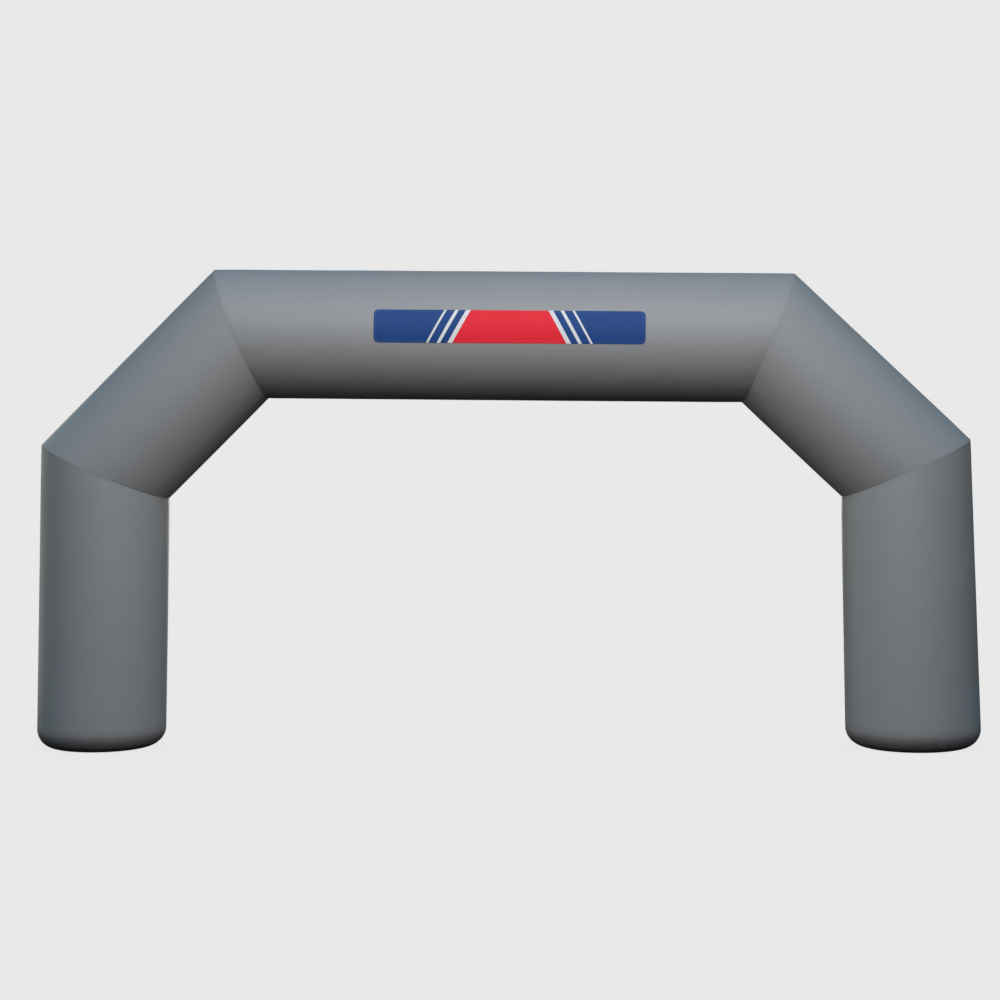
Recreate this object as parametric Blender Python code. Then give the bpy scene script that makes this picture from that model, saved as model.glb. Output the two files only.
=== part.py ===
"""Inflatable arch: five straight air-filled fabric tubes, mitred together and standing on two round feet.

The axis of the arch runs through six points in the plane Y = 0: foot, knee and shoulder on the left, then
shoulder, knee and foot on the right.  Each tube runs between two of them and is cut off at the planes in
which it is sewn to its neighbours.  The origin is on the ground, midway between the feet.  X runs along the
width, Z is up, and the front faces -Y.
"""

import math

import bmesh
import bpy
from mathutils import Vector

# Driving dimensions, in metres
HEIGHT = 3.082
TUBE_RADIUS = 0.413
KNEE_HEIGHT = 1.787
SHOULDER_HALF_SPAN = 1.691
BEAM_FALL = 0.047

# Each foot's centre and radius, and how far its knee stands nearer the middle; the right leg is the fuller
LEFT_FOOT_X = -2.636
LEFT_FOOT_RADIUS = 0.414
LEFT_KNEE_LEAN = 0.050
RIGHT_FOOT_X = 2.621
RIGHT_FOOT_RADIUS = 0.430
RIGHT_KNEE_LEAN = 0.053

# The rounding of each foot, and where on it the floor panel is sewn to the leg
FOOT_ROUNDING = 0.121
FLOOR_SEAM_ANGLE = math.radians(42)

# How far a mitre seam draws the inflated wall in, and how quickly the wall swells out again
SEAM_DRAW = 0.002
SEAM_REACH = 0.040

# The panel on the front of the beam; its angles count from the frontmost line of the tube upwards
PANEL_LENGTH = 1.700
PANEL_CENTRE_X = 0.047
PANEL_FIRST_ANGLE = math.radians(-8)
PANEL_LAST_ANGLE = math.radians(21)
PANEL_THICKNESS = 0.002
PANEL_CORNER = 0.030

# Fineness of the solids, and the gap left between neighbours
SIDES = 60
MITRE_RINGS = (0.012, 0.030, 0.060, 0.110, 0.190)
ROUNDING_STEPS = 4
PANEL_CORNER_STEPS = 4
PLAIN_SPANS = 3
FIT_GAP = 0.0003

SIDE_STEP = math.tau / SIDES
FRONT = Vector((0.0, -1.0, 0.0))
UP = Vector((0.0, 0.0, 1.0))

# Each fabric's colour and roughness
TUBE_FABRIC = ((0.340, 0.345, 0.350), 0.5)
FLOOR_FABRIC = ((0.270, 0.275, 0.280), 0.6)
PANEL_FABRIC = ((0.010, 0.066, 0.262), 0.5)


def clear_scene():
    """Removes whatever the scene holds."""
    for leftover in list(bpy.data.objects):
        bpy.data.objects.remove(leftover, do_unlink=True)


def axis_points():
    """The six points of the arch's axis, from the left foot to the right one."""
    beam_height = HEIGHT - TUBE_RADIUS
    return [
        Vector((LEFT_FOOT_X, 0.0, 0.0)),
        Vector((LEFT_FOOT_X + LEFT_KNEE_LEAN, 0.0, KNEE_HEIGHT)),
        Vector((-SHOULDER_HALF_SPAN, 0.0, beam_height)),
        Vector((SHOULDER_HALF_SPAN, 0.0, beam_height - BEAM_FALL)),
        Vector((RIGHT_FOOT_X - RIGHT_KNEE_LEAN, 0.0, KNEE_HEIGHT)),
        Vector((RIGHT_FOOT_X, 0.0, 0.0)),
    ]


def mitre_normal(before, corner, after):
    """The normal of the plane that halves the bend at a corner, pointing along the arch."""
    return ((corner - before).normalized() + (after - corner).normalized()).normalized()


def rounding_at(foot_radius, rise):
    """The radius and the height of a foot's rounding where it has turned up from the ground by an angle."""
    return foot_radius - FOOT_ROUNDING * (1 - math.sin(rise)), FOOT_ROUNDING * (1 - math.cos(rise))


def seam_draw(distance):
    """How far the wall is drawn in at a distance from a mitre seam."""
    return SEAM_DRAW * math.exp(-distance / SEAM_REACH)


def rounding_draw(height):
    """How far the rounding of a foot draws its wall in at a height."""
    below = max(0.0, FOOT_ROUNDING - height)
    return FOOT_ROUNDING - math.sqrt(FOOT_ROUNDING**2 - below**2)


def ringed_cylinder(stations):
    """A closed cylinder of radius 1 from Z = 0 to Z = 1, cut into rings at the stations between."""
    mesh = bmesh.new()
    bmesh.ops.create_cone(mesh, cap_ends=True, segments=SIDES, radius1=1.0, radius2=1.0, depth=1.0)
    bmesh.ops.translate(mesh, verts=mesh.verts, vec=(0.0, 0.0, 0.5))
    for station in stations:
        everything = mesh.verts[:] + mesh.edges[:] + mesh.faces[:]
        bmesh.ops.bisect_plane(mesh, geom=everything, dist=1e-6, plane_co=(0, 0, station), plane_no=(0, 0, 1))
    return mesh


def finish(mesh, name, collection, fabric):
    """Turns a bmesh into a smooth-shaded object of a fabric, given as its colour and roughness."""
    mesh.normal_update()
    bmesh.ops.recalc_face_normals(mesh, faces=mesh.faces)
    data = bpy.data.meshes.new(name)
    mesh.to_mesh(data)
    mesh.free()
    data.shade_smooth()
    data.set_sharp_from_angle(angle=math.radians(30))
    colour, roughness = fabric
    material = bpy.data.materials.new(f"{name}_fabric")
    material.use_nodes = True
    shader = material.node_tree.nodes["Principled BSDF"]
    shader.inputs["Base Color"].default_value = (*colour, 1.0)
    shader.inputs["Roughness"].default_value = roughness
    shader.inputs["Metallic"].default_value = 0.0
    data.materials.append(material)
    part = bpy.data.objects.new(name, data)
    collection.objects.link(part)
    return part


def tube_between(stations, start, end, radius_at):
    """Bends a ringed cylinder into a tube between two end planes.

    start and end are each a point of the axis, the plane's normal along the arch and the tube's radius in
    that plane.  radius_at takes the distances of a point of the wall from both end planes, measured along
    the tube.
    """
    mesh = ringed_cylinder(stations)
    along = (end[0] - start[0]).normalized()
    outward = FRONT.cross(along)

    def reach(plane, spoke):
        """Where the straight line of the wall in a direction from the axis meets an end plane."""
        point, normal, radius = plane
        return (point - start[0] - spoke * radius).dot(normal) / along.dot(normal)

    for vertex in mesh.verts:
        angle = math.atan2(vertex.co.y, vertex.co.x)
        spoke = FRONT * math.cos(angle) + outward * math.sin(angle)
        first = reach(start, spoke)
        last = reach(end, spoke)
        place = first + (last - first) * vertex.co.z
        radius = radius_at(place - first, last - place)
        vertex.co = start[0] + along * place + spoke * radius
    return mesh


def gapped(point, normal, side):
    """An end plane's point, moved half a fit gap to the tube's own side of the seam."""
    return point + normal * (side * FIT_GAP / 2)


def between(first, last, spans):
    """The stations that part the way from the first to the last into even spans."""
    return [first + (last - first) * step / spans for step in range(1, spans)]


def mitred_stations(length):
    """Rings close to both mitre seams, and a few plain spans between them, as shares of the length."""
    low = [distance / length for distance in MITRE_RINGS]
    high = [1 - share for share in low]
    return low + between(low[-1], high[-1], PLAIN_SPANS) + high


def leg_stations(length):
    """Rings over a foot's rounding, plain spans, and rings close to the knee, as shares of the length."""
    turn = math.pi / 2 - FLOOR_SEAM_ANGLE
    heights = [
        rounding_at(0.0, FLOOR_SEAM_ANGLE + turn * step / ROUNDING_STEPS)[1] for step in range(ROUNDING_STEPS + 1)
    ]
    low = [(height - heights[0]) / length for height in heights[1:]]
    high = [1 - distance / length for distance in MITRE_RINGS]
    return low + between(low[-1], high[-1], PLAIN_SPANS + 1) + high


def make_mitred_tube(name, collection, points, index):
    """A straight tube with a mitre seam at each end, from one point of the axis to the next."""
    before, start, end, after = points[index - 1 : index + 3]
    start_normal = mitre_normal(before, start, end)
    end_normal = mitre_normal(start, end, after)
    seam_radius = TUBE_RADIUS - SEAM_DRAW

    def radius_at(from_start, from_end):
        return TUBE_RADIUS - seam_draw(from_start) - seam_draw(from_end)

    mesh = tube_between(
        mitred_stations((end - start).length),
        (gapped(start, start_normal, 1), start_normal, seam_radius),
        (gapped(end, end_normal, -1), end_normal, seam_radius),
        radius_at,
    )
    return finish(mesh, name, collection, TUBE_FABRIC)


def make_leg(name, collection, foot, knee, shoulder, foot_radius):
    """A leg, from the seam of its floor panel up to the mitre seam at its knee."""
    knee_normal = mitre_normal(foot, knee, shoulder)
    seam_radius, seam_height = rounding_at(foot_radius, FLOOR_SEAM_ANGLE)
    seam_point = foot.lerp(knee, seam_height / knee.z)

    def radius_at(from_seam, from_knee):
        share = from_seam / (from_seam + from_knee)
        swollen = foot_radius + (TUBE_RADIUS - foot_radius) * share
        return swollen - rounding_draw(from_seam + seam_height) - seam_draw(from_knee)

    mesh = tube_between(
        leg_stations((knee - seam_point).length),
        (gapped(seam_point, UP, 1), UP, seam_radius),
        (gapped(knee, knee_normal, -1), knee_normal, TUBE_RADIUS - SEAM_DRAW),
        radius_at,
    )
    return finish(mesh, name, collection, TUBE_FABRIC)


def make_base(name, collection, foot, knee, foot_radius):
    """A foot's floor panel: flat on the ground, and rounded up to the seam of the leg."""
    mesh = ringed_cylinder(between(0.0, 1.0, ROUNDING_STEPS))
    top = rounding_at(foot_radius, FLOOR_SEAM_ANGLE)[1] - FIT_GAP / 2
    for vertex in mesh.verts:
        angle = math.atan2(vertex.co.y, vertex.co.x)
        radius, height = rounding_at(foot_radius, FLOOR_SEAM_ANGLE * vertex.co.z)
        height = min(height, top)
        centre = foot.lerp(knee, height / knee.z)
        vertex.co = (centre.x + radius * math.cos(angle), centre.y + radius * math.sin(angle), height)
    return finish(mesh, name, collection, FLOOR_FABRIC)


def facet_radius(angle):
    """The distance from the beam's axis to its faceted wall at an angle."""
    past_side = angle % SIDE_STEP
    return TUBE_RADIUS * math.cos(SIDE_STEP / 2) / math.cos(past_side - SIDE_STEP / 2)


def make_front_panel(name, collection, start, end):
    """The panel on the beam's front: a flat sheet with rounded corners, wrapped round the tube."""
    height = TUBE_RADIUS * (PANEL_LAST_ANGLE - PANEL_FIRST_ANGLE)
    mesh = bmesh.new()
    bmesh.ops.create_cube(mesh, size=1.0)
    bmesh.ops.scale(mesh, verts=mesh.verts, vec=(PANEL_LENGTH, height, PANEL_THICKNESS))
    corners = [edge for edge in mesh.edges if edge.verts[0].co.xy == edge.verts[1].co.xy]
    bmesh.ops.bevel(
        mesh, geom=corners, offset=PANEL_CORNER, segments=PANEL_CORNER_STEPS, profile=0.5, affect="EDGES"
    )
    first_side = math.ceil(PANEL_FIRST_ANGLE / SIDE_STEP)
    last_side = math.floor(PANEL_LAST_ANGLE / SIDE_STEP)
    for side in range(first_side, last_side + 1):
        cut = TUBE_RADIUS * (SIDE_STEP * side - PANEL_FIRST_ANGLE) - height / 2
        everything = mesh.verts[:] + mesh.edges[:] + mesh.faces[:]
        bmesh.ops.bisect_plane(mesh, geom=everything, dist=1e-6, plane_co=(0, cut, 0), plane_no=(0, 1, 0))

    along = (end - start).normalized()
    outward = FRONT.cross(along)
    middle = (start + end) / 2 + along * PANEL_CENTRE_X
    for vertex in mesh.verts:
        angle = PANEL_FIRST_ANGLE + (vertex.co.y + height / 2) / TUBE_RADIUS
        radius = facet_radius(angle) + FIT_GAP + vertex.co.z + PANEL_THICKNESS / 2
        spoke = FRONT * math.cos(angle) + outward * math.sin(angle)
        vertex.co = middle + along * vertex.co.x + spoke * radius
    return finish(mesh, name, collection, PANEL_FABRIC)


def main():
    """Builds the arch."""
    clear_scene()
    collection = bpy.data.collections.new("inflatable_arch")
    bpy.context.scene.collection.children.link(collection)
    points = axis_points()
    make_mitred_tube("beam", collection, points, 2)
    make_mitred_tube("shoulder_left", collection, points, 1)
    make_mitred_tube("shoulder_right", collection, points, 3)
    legs = (("left", points[:3], LEFT_FOOT_RADIUS), ("right", points[:2:-1], RIGHT_FOOT_RADIUS))
    for side, (foot, knee, shoulder), foot_radius in legs:
        make_leg(f"leg_{side}", collection, foot, knee, shoulder, foot_radius)
        make_base(f"base_{side}", collection, foot, knee, foot_radius)
    make_front_panel("front_panel", collection, points[2], points[3])


main()
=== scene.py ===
"""The looks of an inflatable arch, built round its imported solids.

Five straight tubes of coated cloth are mitred together, blown up and stood on two round floor panels,
and a printed panel is sewn to the front of the beam.  Every tube, floor panel and printed panel
replaces the plain solid of its name.  Lengths are in metres, X runs along the width, the front faces
-Y and +Z is up.
"""

from __future__ import annotations

import logging
import math
from dataclasses import dataclass, field
from enum import Enum

import bpy
from mathutils import Matrix, Vector

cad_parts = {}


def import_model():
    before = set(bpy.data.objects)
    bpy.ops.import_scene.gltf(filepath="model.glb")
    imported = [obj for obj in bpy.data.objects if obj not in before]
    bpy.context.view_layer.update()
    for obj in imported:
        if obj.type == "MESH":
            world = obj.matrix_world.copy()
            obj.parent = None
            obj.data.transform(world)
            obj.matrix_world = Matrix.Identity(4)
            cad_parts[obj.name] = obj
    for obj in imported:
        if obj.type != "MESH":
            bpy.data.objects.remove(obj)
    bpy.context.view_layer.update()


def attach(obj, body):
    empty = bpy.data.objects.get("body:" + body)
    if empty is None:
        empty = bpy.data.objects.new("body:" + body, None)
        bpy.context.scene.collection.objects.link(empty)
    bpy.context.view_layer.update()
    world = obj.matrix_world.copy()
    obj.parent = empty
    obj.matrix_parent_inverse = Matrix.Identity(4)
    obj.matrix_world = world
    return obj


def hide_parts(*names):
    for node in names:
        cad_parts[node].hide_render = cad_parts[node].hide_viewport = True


LOG = logging.getLogger("arch")
FRONT = Vector((0.0, -1.0, 0.0))
UP = Vector((0.0, 0.0, 1.0))
AIM = Vector((0.0, 0.0, 2.0))
CLOTH_MAP = "cloth"
SEAM_SHARE = "seam"
BODY = "root"
SHARP_ANGLE = math.radians(30)
FRAME_PIXELS = 1000.0
WHITE = (1.0, 1.0, 1.0, 1.0)


class Slot(Enum):
    """The record's material slots."""

    TUBE = "tube_fabric"
    FLOOR = "floor_fabric"
    PANEL = "panel_print"


class End(Enum):
    """The two ends of a tube, counted along the arch from the viewer's left foot."""

    START = 0.0
    FINISH = 1.0


class Net:
    """A node tree that is filled in from Python expressions."""

    def __init__(self, tree: bpy.types.NodeTree) -> None:
        """Takes the tree that new nodes go into."""
        self.tree = tree

    def add(
        self,
        kind: str,
        settings: dict[str, object] | None = None,
        sockets: dict[int | str, object] | None = None,
        out: int | str = 0,
    ) -> Field:
        """Adds a node.

        Args:
            kind: The node's type.
            settings: Its properties, set first.  The entry "stops" fills its colour ramp.
            sockets: What each of its inputs gets, by name or index: a field, or a plain value.
            out: The output that is returned.

        Returns:
            The output as a field, with vector arithmetic where it holds a vector.
        """
        node = self.tree.nodes.new(kind)
        for name, value in (settings or {}).items():
            if name == "stops":
                self._fill_ramp(node.color_ramp, value)
            else:
                setattr(node, name, value)
        for key, value in (sockets or {}).items():
            self.plug(node.inputs[key], value)
        return self.wrap(node.outputs[out])

    def plug(self, target: bpy.types.NodeSocket, value: object) -> None:
        """Fills an input.

        Args:
            target: The input.
            value: A field, which is linked to it, or a plain value.
        """
        if isinstance(value, Field):
            self.tree.links.new(value.socket, target)
        else:
            target.default_value = value

    def wrap(self, socket: bpy.types.NodeSocket) -> Field:
        """The field for an output socket."""
        return VectorField(self, socket) if socket.type == "VECTOR" else Field(self, socket)

    def math(self, operation: str, *terms: object) -> Field:
        """A Math node on numbers or fields."""
        return self.add("ShaderNodeMath", {"operation": operation}, dict(enumerate(terms)))

    def vector_math(self, operation: str, *terms: object, out: int = 0) -> Field:
        """A Vector Math node on vectors."""
        return self.add("ShaderNodeVectorMath", {"operation": operation}, dict(enumerate(terms)), out)

    def combine(self, x: object, y: object, z: object) -> Field:
        """A vector from three numbers."""
        return self.add("ShaderNodeCombineXYZ", None, {0: x, 1: y, 2: z})

    def ease(self, value: Field, low: float, high: float) -> Field:
        """A smooth step from 0 at low to 1 at high."""
        settings = {"interpolation_type": "SMOOTHSTEP"}
        return self.add("ShaderNodeMapRange", settings, {0: value, 1: low, 2: high, 3: 0.0, 4: 1.0})

    def noise(self, place: Field, scale: object = 1.0, detail: float = 2.0, rough: float = 0.5) -> Field:
        """Soft noise from -1 to 1 at a place."""
        sockets = {"Vector": place, "Scale": scale, "Detail": detail, "Roughness": rough}
        return self.add("ShaderNodeTexNoise", None, sockets) * 2.0 - 1.0

    def mix_colour(self, share: object, first: object, second: object, blend: str = "MIX") -> Field:
        """A colour between two colours."""
        settings = {"data_type": "RGBA", "blend_type": blend}
        return self.add("ShaderNodeMix", settings, {0: share, 6: first, 7: second}, 2)

    def toned(self, colour: object, tone: Field) -> Field:
        """A colour made lighter or darker by a tone about 1."""
        return self.mix_colour(1.0, colour, self.combine(tone, tone, tone), "MULTIPLY")

    def weave(self, cloth: Field, pitch: float) -> Field:
        """The warp and weft of a cloth with threads at a pitch, from -1 to 1."""
        turns = math.tau / pitch
        return (cloth.part(0) * turns).sine() * (cloth.part(1) * turns).sine()

    def bump(self, strength: float, relief: Field) -> Field:
        """The normal that a relief in metres gives."""
        sockets = {"Strength": strength, "Distance": 1.0, "Height": relief}
        return self.add("ShaderNodeBump", None, sockets)

    @staticmethod
    def _fill_ramp(ramp: bpy.types.ColorRamp, stops: list[tuple[float, tuple[float, ...]]]) -> None:
        """Gives a colour ramp its stops.

        Args:
            ramp: The colour ramp.
            stops: Its stops from left to right, each a place and a colour.
        """
        while len(ramp.elements) > 1:
            ramp.elements.remove(ramp.elements[-1])
        ramp.elements[0].position, ramp.elements[0].color = stops[0]
        for place, colour in stops[1:]:
            ramp.elements.new(place).color = colour


class Field:
    """A number in a node tree, on which arithmetic adds the Math nodes."""

    def __init__(self, net: Net, socket: bpy.types.NodeSocket) -> None:
        """Wraps an output socket of the net's tree."""
        self.net = net
        self.socket = socket

    def __add__(self, other: object) -> Field:
        """self + other."""
        return self.net.math("ADD", self, other)

    def __radd__(self, other: object) -> Field:
        """other + self."""
        return self.net.math("ADD", other, self)

    def __sub__(self, other: object) -> Field:
        """self - other."""
        return self.net.math("SUBTRACT", self, other)

    def __rsub__(self, other: object) -> Field:
        """other - self."""
        return self.net.math("SUBTRACT", other, self)

    def __mul__(self, other: object) -> Field:
        """self * other."""
        return self.net.math("MULTIPLY", self, other)

    def __rmul__(self, other: object) -> Field:
        """other * self."""
        return self.net.math("MULTIPLY", other, self)

    def __truediv__(self, other: object) -> Field:
        """self / other."""
        return self.net.math("DIVIDE", self, other)

    def __rtruediv__(self, other: object) -> Field:
        """other / self."""
        return self.net.math("DIVIDE", other, self)

    def __neg__(self) -> Field:
        """-self."""
        return self.net.math("MULTIPLY", self, -1.0)

    def __abs__(self) -> Field:
        """The size without its sign."""
        return self.net.math("ABSOLUTE", self)

    def sibling(self, name: str) -> Field:
        """Another output of the same node."""
        return self.net.wrap(self.socket.node.outputs[name])

    def sine(self) -> Field:
        """The sine of an angle in radians."""
        return self.net.math("SINE", self)

    def cosine(self) -> Field:
        """The cosine of an angle in radians."""
        return self.net.math("COSINE", self)

    def exponential(self) -> Field:
        """The exponential."""
        return self.net.math("EXPONENT", self)

    def root(self) -> Field:
        """The square root."""
        return self.net.math("SQRT", self)

    def at_least(self, low: object) -> Field:
        """The larger of this and low."""
        return self.net.math("MAXIMUM", self, low)

    def at_most(self, high: object) -> Field:
        """The smaller of this and high."""
        return self.net.math("MINIMUM", self, high)

    def above(self, limit: object) -> Field:
        """1 where this is above a limit, and 0 elsewhere."""
        return self.net.math("GREATER_THAN", self, limit)


class VectorField(Field):
    """A vector in a node tree, on which arithmetic adds Vector Math nodes."""

    def __add__(self, other: object) -> Field:
        """self + other."""
        return self.net.vector_math("ADD", self, other)

    def __radd__(self, other: object) -> Field:
        """other + self."""
        return self.net.vector_math("ADD", other, self)

    def __sub__(self, other: object) -> Field:
        """self - other."""
        return self.net.vector_math("SUBTRACT", self, other)

    def __rsub__(self, other: object) -> Field:
        """other - self."""
        return self.net.vector_math("SUBTRACT", other, self)

    def __mul__(self, number: object) -> Field:
        """self scaled by a number."""
        return self.net.add("ShaderNodeVectorMath", {"operation": "SCALE"}, {0: self, "Scale": number})

    def __rmul__(self, number: object) -> Field:
        """self scaled by a number."""
        return self * number

    def dot(self, other: object) -> Field:
        """The dot product."""
        return self.net.vector_math("DOT_PRODUCT", self, other, out=1)

    def cross(self, other: object) -> Field:
        """The cross product."""
        return self.net.vector_math("CROSS_PRODUCT", self, other)

    def length(self) -> Field:
        """The length."""
        return self.net.vector_math("LENGTH", self, out=1)

    def unit(self) -> Field:
        """The vector at length 1."""
        return self.net.vector_math("NORMALIZE", self)

    def part(self, axis: int) -> Field:
        """The X, Y or Z part, for axis 0, 1 or 2."""
        return self.net.add("ShaderNodeSeparateXYZ", None, {0: self}, axis)


class Pattern(Net):
    """A Geometry Nodes tree with named inputs, which is run once and turned to a plain mesh."""

    SOCKETS = {float: "NodeSocketFloat", int: "NodeSocketInt", Vector: "NodeSocketVector"}

    def __init__(self, name: str, inputs: dict[str, object]) -> None:
        """Makes the tree.

        Args:
            name: The tree's name.
            inputs: Its inputs, each with a value that gives its kind and its default.
        """
        super().__init__(bpy.data.node_groups.new(name, "GeometryNodeTree"))
        face = self.tree.interface
        for label, value in inputs.items():
            socket = face.new_socket(label, in_out="INPUT", socket_type=self.SOCKETS[type(value)])
            socket.default_value = value
        face.new_socket("Material", in_out="INPUT", socket_type="NodeSocketMaterial")
        face.new_socket("Geometry", in_out="OUTPUT", socket_type="NodeSocketGeometry")
        self._entry = self.tree.nodes.new("NodeGroupInput")

    def given(self, label: str) -> Field:
        """The field of a named input."""
        return self.wrap(self._entry.outputs[label])

    def place(self) -> Field:
        """The position of each point."""
        return self.add("GeometryNodeInputPosition")

    def moved(self, geometry: Field, position: Field) -> Field:
        """Geometry whose points are moved to new positions."""
        return self.add("GeometryNodeSetPosition", None, {"Geometry": geometry, "Position": position})

    def mapped(self, geometry: Field, coordinates: Field) -> Field:
        """Keeps cloth coordinates as the UV map of a geometry.

        Args:
            geometry: The geometry.
            coordinates: Where on its cloth each corner lies, in metres.

        Returns:
            The geometry with its map.
        """
        settings = {"data_type": "FLOAT2", "domain": "CORNER"}
        sockets = {"Geometry": geometry, "Name": CLOTH_MAP, "Value": coordinates}
        return self.add("GeometryNodeStoreNamedAttribute", settings, sockets)

    def marked(self, geometry: Field, share: Field) -> Field:
        """Keeps how near a seam each point of a geometry is.

        Args:
            geometry: The geometry.
            share: How near each point is, from 0 to 1.

        Returns:
            The geometry with its attribute.
        """
        settings = {"data_type": "FLOAT", "domain": "POINT"}
        sockets = {"Geometry": geometry, "Name": SEAM_SHARE, "Value": share}
        return self.add("GeometryNodeStoreNamedAttribute", settings, sockets)

    def give(self, geometry: Field) -> None:
        """Ends the tree, with its instances made real and its material set.

        Args:
            geometry: What the tree makes.
        """
        real = self.add("GeometryNodeRealizeInstances", None, {"Geometry": geometry})
        sockets = {"Geometry": real, "Material": self.given("Material")}
        dressed = self.add("GeometryNodeSetMaterial", None, sockets)
        self.plug(self.tree.nodes.new("NodeGroupOutput").inputs["Geometry"], dressed)

    def make(self, name: str, values: dict[str, object], material: bpy.types.Material) -> bpy.types.Object:
        """Runs the tree once.

        Args:
            name: The new object's name.
            values: The inputs that differ from their defaults.
            material: The material of the new mesh.

        Returns:
            An object at the origin with a plain mesh and no modifier.
        """
        host = bpy.data.objects.new("pattern_host", bpy.data.meshes.new("pattern_host"))
        bpy.context.scene.collection.objects.link(host)
        modifier = host.modifiers.new("pattern", "NODES")
        modifier.node_group = self.tree
        chosen = {**values, "Material": material}
        for socket in self.tree.interface.items_tree:
            if socket.in_out == "INPUT" and socket.name in chosen:
                modifier[socket.identifier] = chosen[socket.name]
        bpy.context.view_layer.update()
        evaluated = host.evaluated_get(bpy.context.evaluated_depsgraph_get())
        mesh = bpy.data.meshes.new_from_object(evaluated)
        mesh.name = name
        bpy.data.objects.remove(host, do_unlink=True)
        mesh.shade_smooth()
        mesh.set_sharp_from_angle(angle=SHARP_ANGLE)
        piece = bpy.data.objects.new(name, mesh)
        bpy.context.scene.collection.objects.link(piece)
        return piece


@dataclass(frozen=True)
class Mottle:
    """Soft unevenness of a finish.

    Attributes:
        scale: How fine it is, in patches for each metre.
        detail: How many finer layers it has.
        depth: How far it swings either way.
        rough: How strong the finer layers are, from 0 to 1.
    """

    scale: float
    detail: float
    depth: float
    rough: float = 0.5

    def on(self, net: Net, place: Field) -> Field:
        """The unevenness at a place, about 0."""
        return net.noise(place, self.scale, self.detail, self.rough) * self.depth


@dataclass(frozen=True)
class CoatedCloth:
    """Woven polyester with a matt coating.

    Attributes:
        colour: The colour of the coating.
        roughness: How matt it is, from 0 to 1.
        thread: The pitch of the weave's threads.
        relief: The height of the weave's threads under the coating.
        bump: How strongly the relief shows.
        weave_tone: How much lighter a thread's crown is.
        rub_tone: How much darker the cloth is where it is rubbed at a seam.
        seam_matt: How much rougher the double cloth at a seam is.
        patches: Wide patches of tone.
        specks: Small specks of tone.
        rubbing: How unevenly the seams are rubbed.
        gloss: How unevenly matt the cloth is.
        handling: The shallow unevenness that folding leaves, as a relief.
        grime_and_shade: The colour that darkens the cloth near the ground: partly grime that the ground
            leaves on it, partly painted shade where the feet round down towards the floor.
        grime_and_shade_height: How high above the ground the grime and painted shade reach.
        grime_and_shade_full: The share of that height up to which they are at their strongest.
        grime_and_shade_share: How strong they are at the ground, from 0 to 1.
        grime_and_shade_cover: How evenly they cover the cloth, from 0 to 1.
        grime_matt: How much rougher the grime makes the cloth.
        dust: How unevenly the grime and painted shade lie.
    """

    colour: tuple[float, float, float]
    roughness: float = 0.50
    thread: float = 0.0011
    relief: float = 0.00012
    bump: float = 0.35
    weave_tone: float = 0.05
    rub_tone: float = 0.03
    seam_matt: float = 0.04
    patches: Mottle = Mottle(1.3, 3.0, 0.04)
    specks: Mottle = Mottle(26.0, 4.0, 0.03)
    rubbing: Mottle = Mottle(60.0, 3.0, 0.5)
    gloss: Mottle = Mottle(3.0, 4.0, 0.05)
    handling: Mottle = Mottle(7.0, 5.0, 0.0012, 0.6)
    grime_and_shade: tuple[float, float, float] = (0.150, 0.100, 0.093)
    grime_and_shade_height: float = 0.18
    grime_and_shade_full: float = 0.2
    grime_and_shade_share: float = 0.87
    grime_and_shade_cover: float = 0.8
    grime_matt: float = 0.2
    dust: Mottle = Mottle(9.0, 6.0, 0.4, 0.65)

    def material(self, name: str) -> bpy.types.Material:
        """Makes the cloth's material.

        Args:
            name: The material's name.

        Returns:
            The material, for pieces with a cloth map.
        """
        made, net, shader = new_surface(name)
        cloth = net.add("ShaderNodeUVMap", {"uv_map": CLOTH_MAP})
        place = net.add("ShaderNodeTexCoord", None, None, "Object")
        seam = net.add("ShaderNodeAttribute", {"attribute_name": SEAM_SHARE}, None, "Fac")
        weave = net.weave(cloth, self.thread)
        rubbed = seam * (0.5 + self.rubbing.on(net, cloth))
        tone = 1.0 + self.patches.on(net, cloth) + self.specks.on(net, cloth)
        tone = tone + weave * self.weave_tone - rubbed * self.rub_tone
        base = net.toned((*self.colour, 1.0), tone)
        # Grime and painted shade: the colour darkens towards the ground, partly real grime and partly
        # painted shade on the feet's rounding.
        low = 1.0 - net.ease(place.part(2), self.grime_and_shade_height * self.grime_and_shade_full, self.grime_and_shade_height)
        grime_and_shade_mask = low * (self.dust.on(net, cloth) + self.grime_and_shade_cover) * self.grime_and_shade_share
        net.plug(shader.inputs["Base Color"], net.mix_colour(grime_and_shade_mask, base, (*self.grime_and_shade, 1.0)))
        rough = self.roughness + self.gloss.on(net, cloth)
        rough = rough + grime_and_shade_mask * self.grime_matt + seam * self.seam_matt
        net.plug(shader.inputs["Roughness"], rough)
        relief = weave * self.relief + self.handling.on(net, cloth)
        net.plug(shader.inputs["Normal"], net.bump(self.bump, relief))
        return made


@dataclass(frozen=True)
class Thread:
    """Bonded polyester sewing thread.

    Attributes:
        colour: The thread's colour.
        roughness: How matt it is, from 0 to 1.
        patches: How its tone varies.
        gloss: How unevenly matt it is.
    """

    colour: tuple[float, float, float]
    roughness: float = 0.6
    patches: Mottle = Mottle(180.0, 2.0, 0.18)
    gloss: Mottle = Mottle(90.0, 2.0, 0.08)

    def material(self, name: str) -> bpy.types.Material:
        """Makes the thread's material.

        Args:
            name: The material's name.

        Returns:
            The material.
        """
        made, net, shader = new_surface(name)
        place = net.add("ShaderNodeTexCoord", None, None, "Object")
        tone = 1.0 + self.patches.on(net, place)
        net.plug(shader.inputs["Base Color"], net.toned((*self.colour, 1.0), tone))
        net.plug(shader.inputs["Roughness"], self.roughness + self.gloss.on(net, place))
        return made


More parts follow.
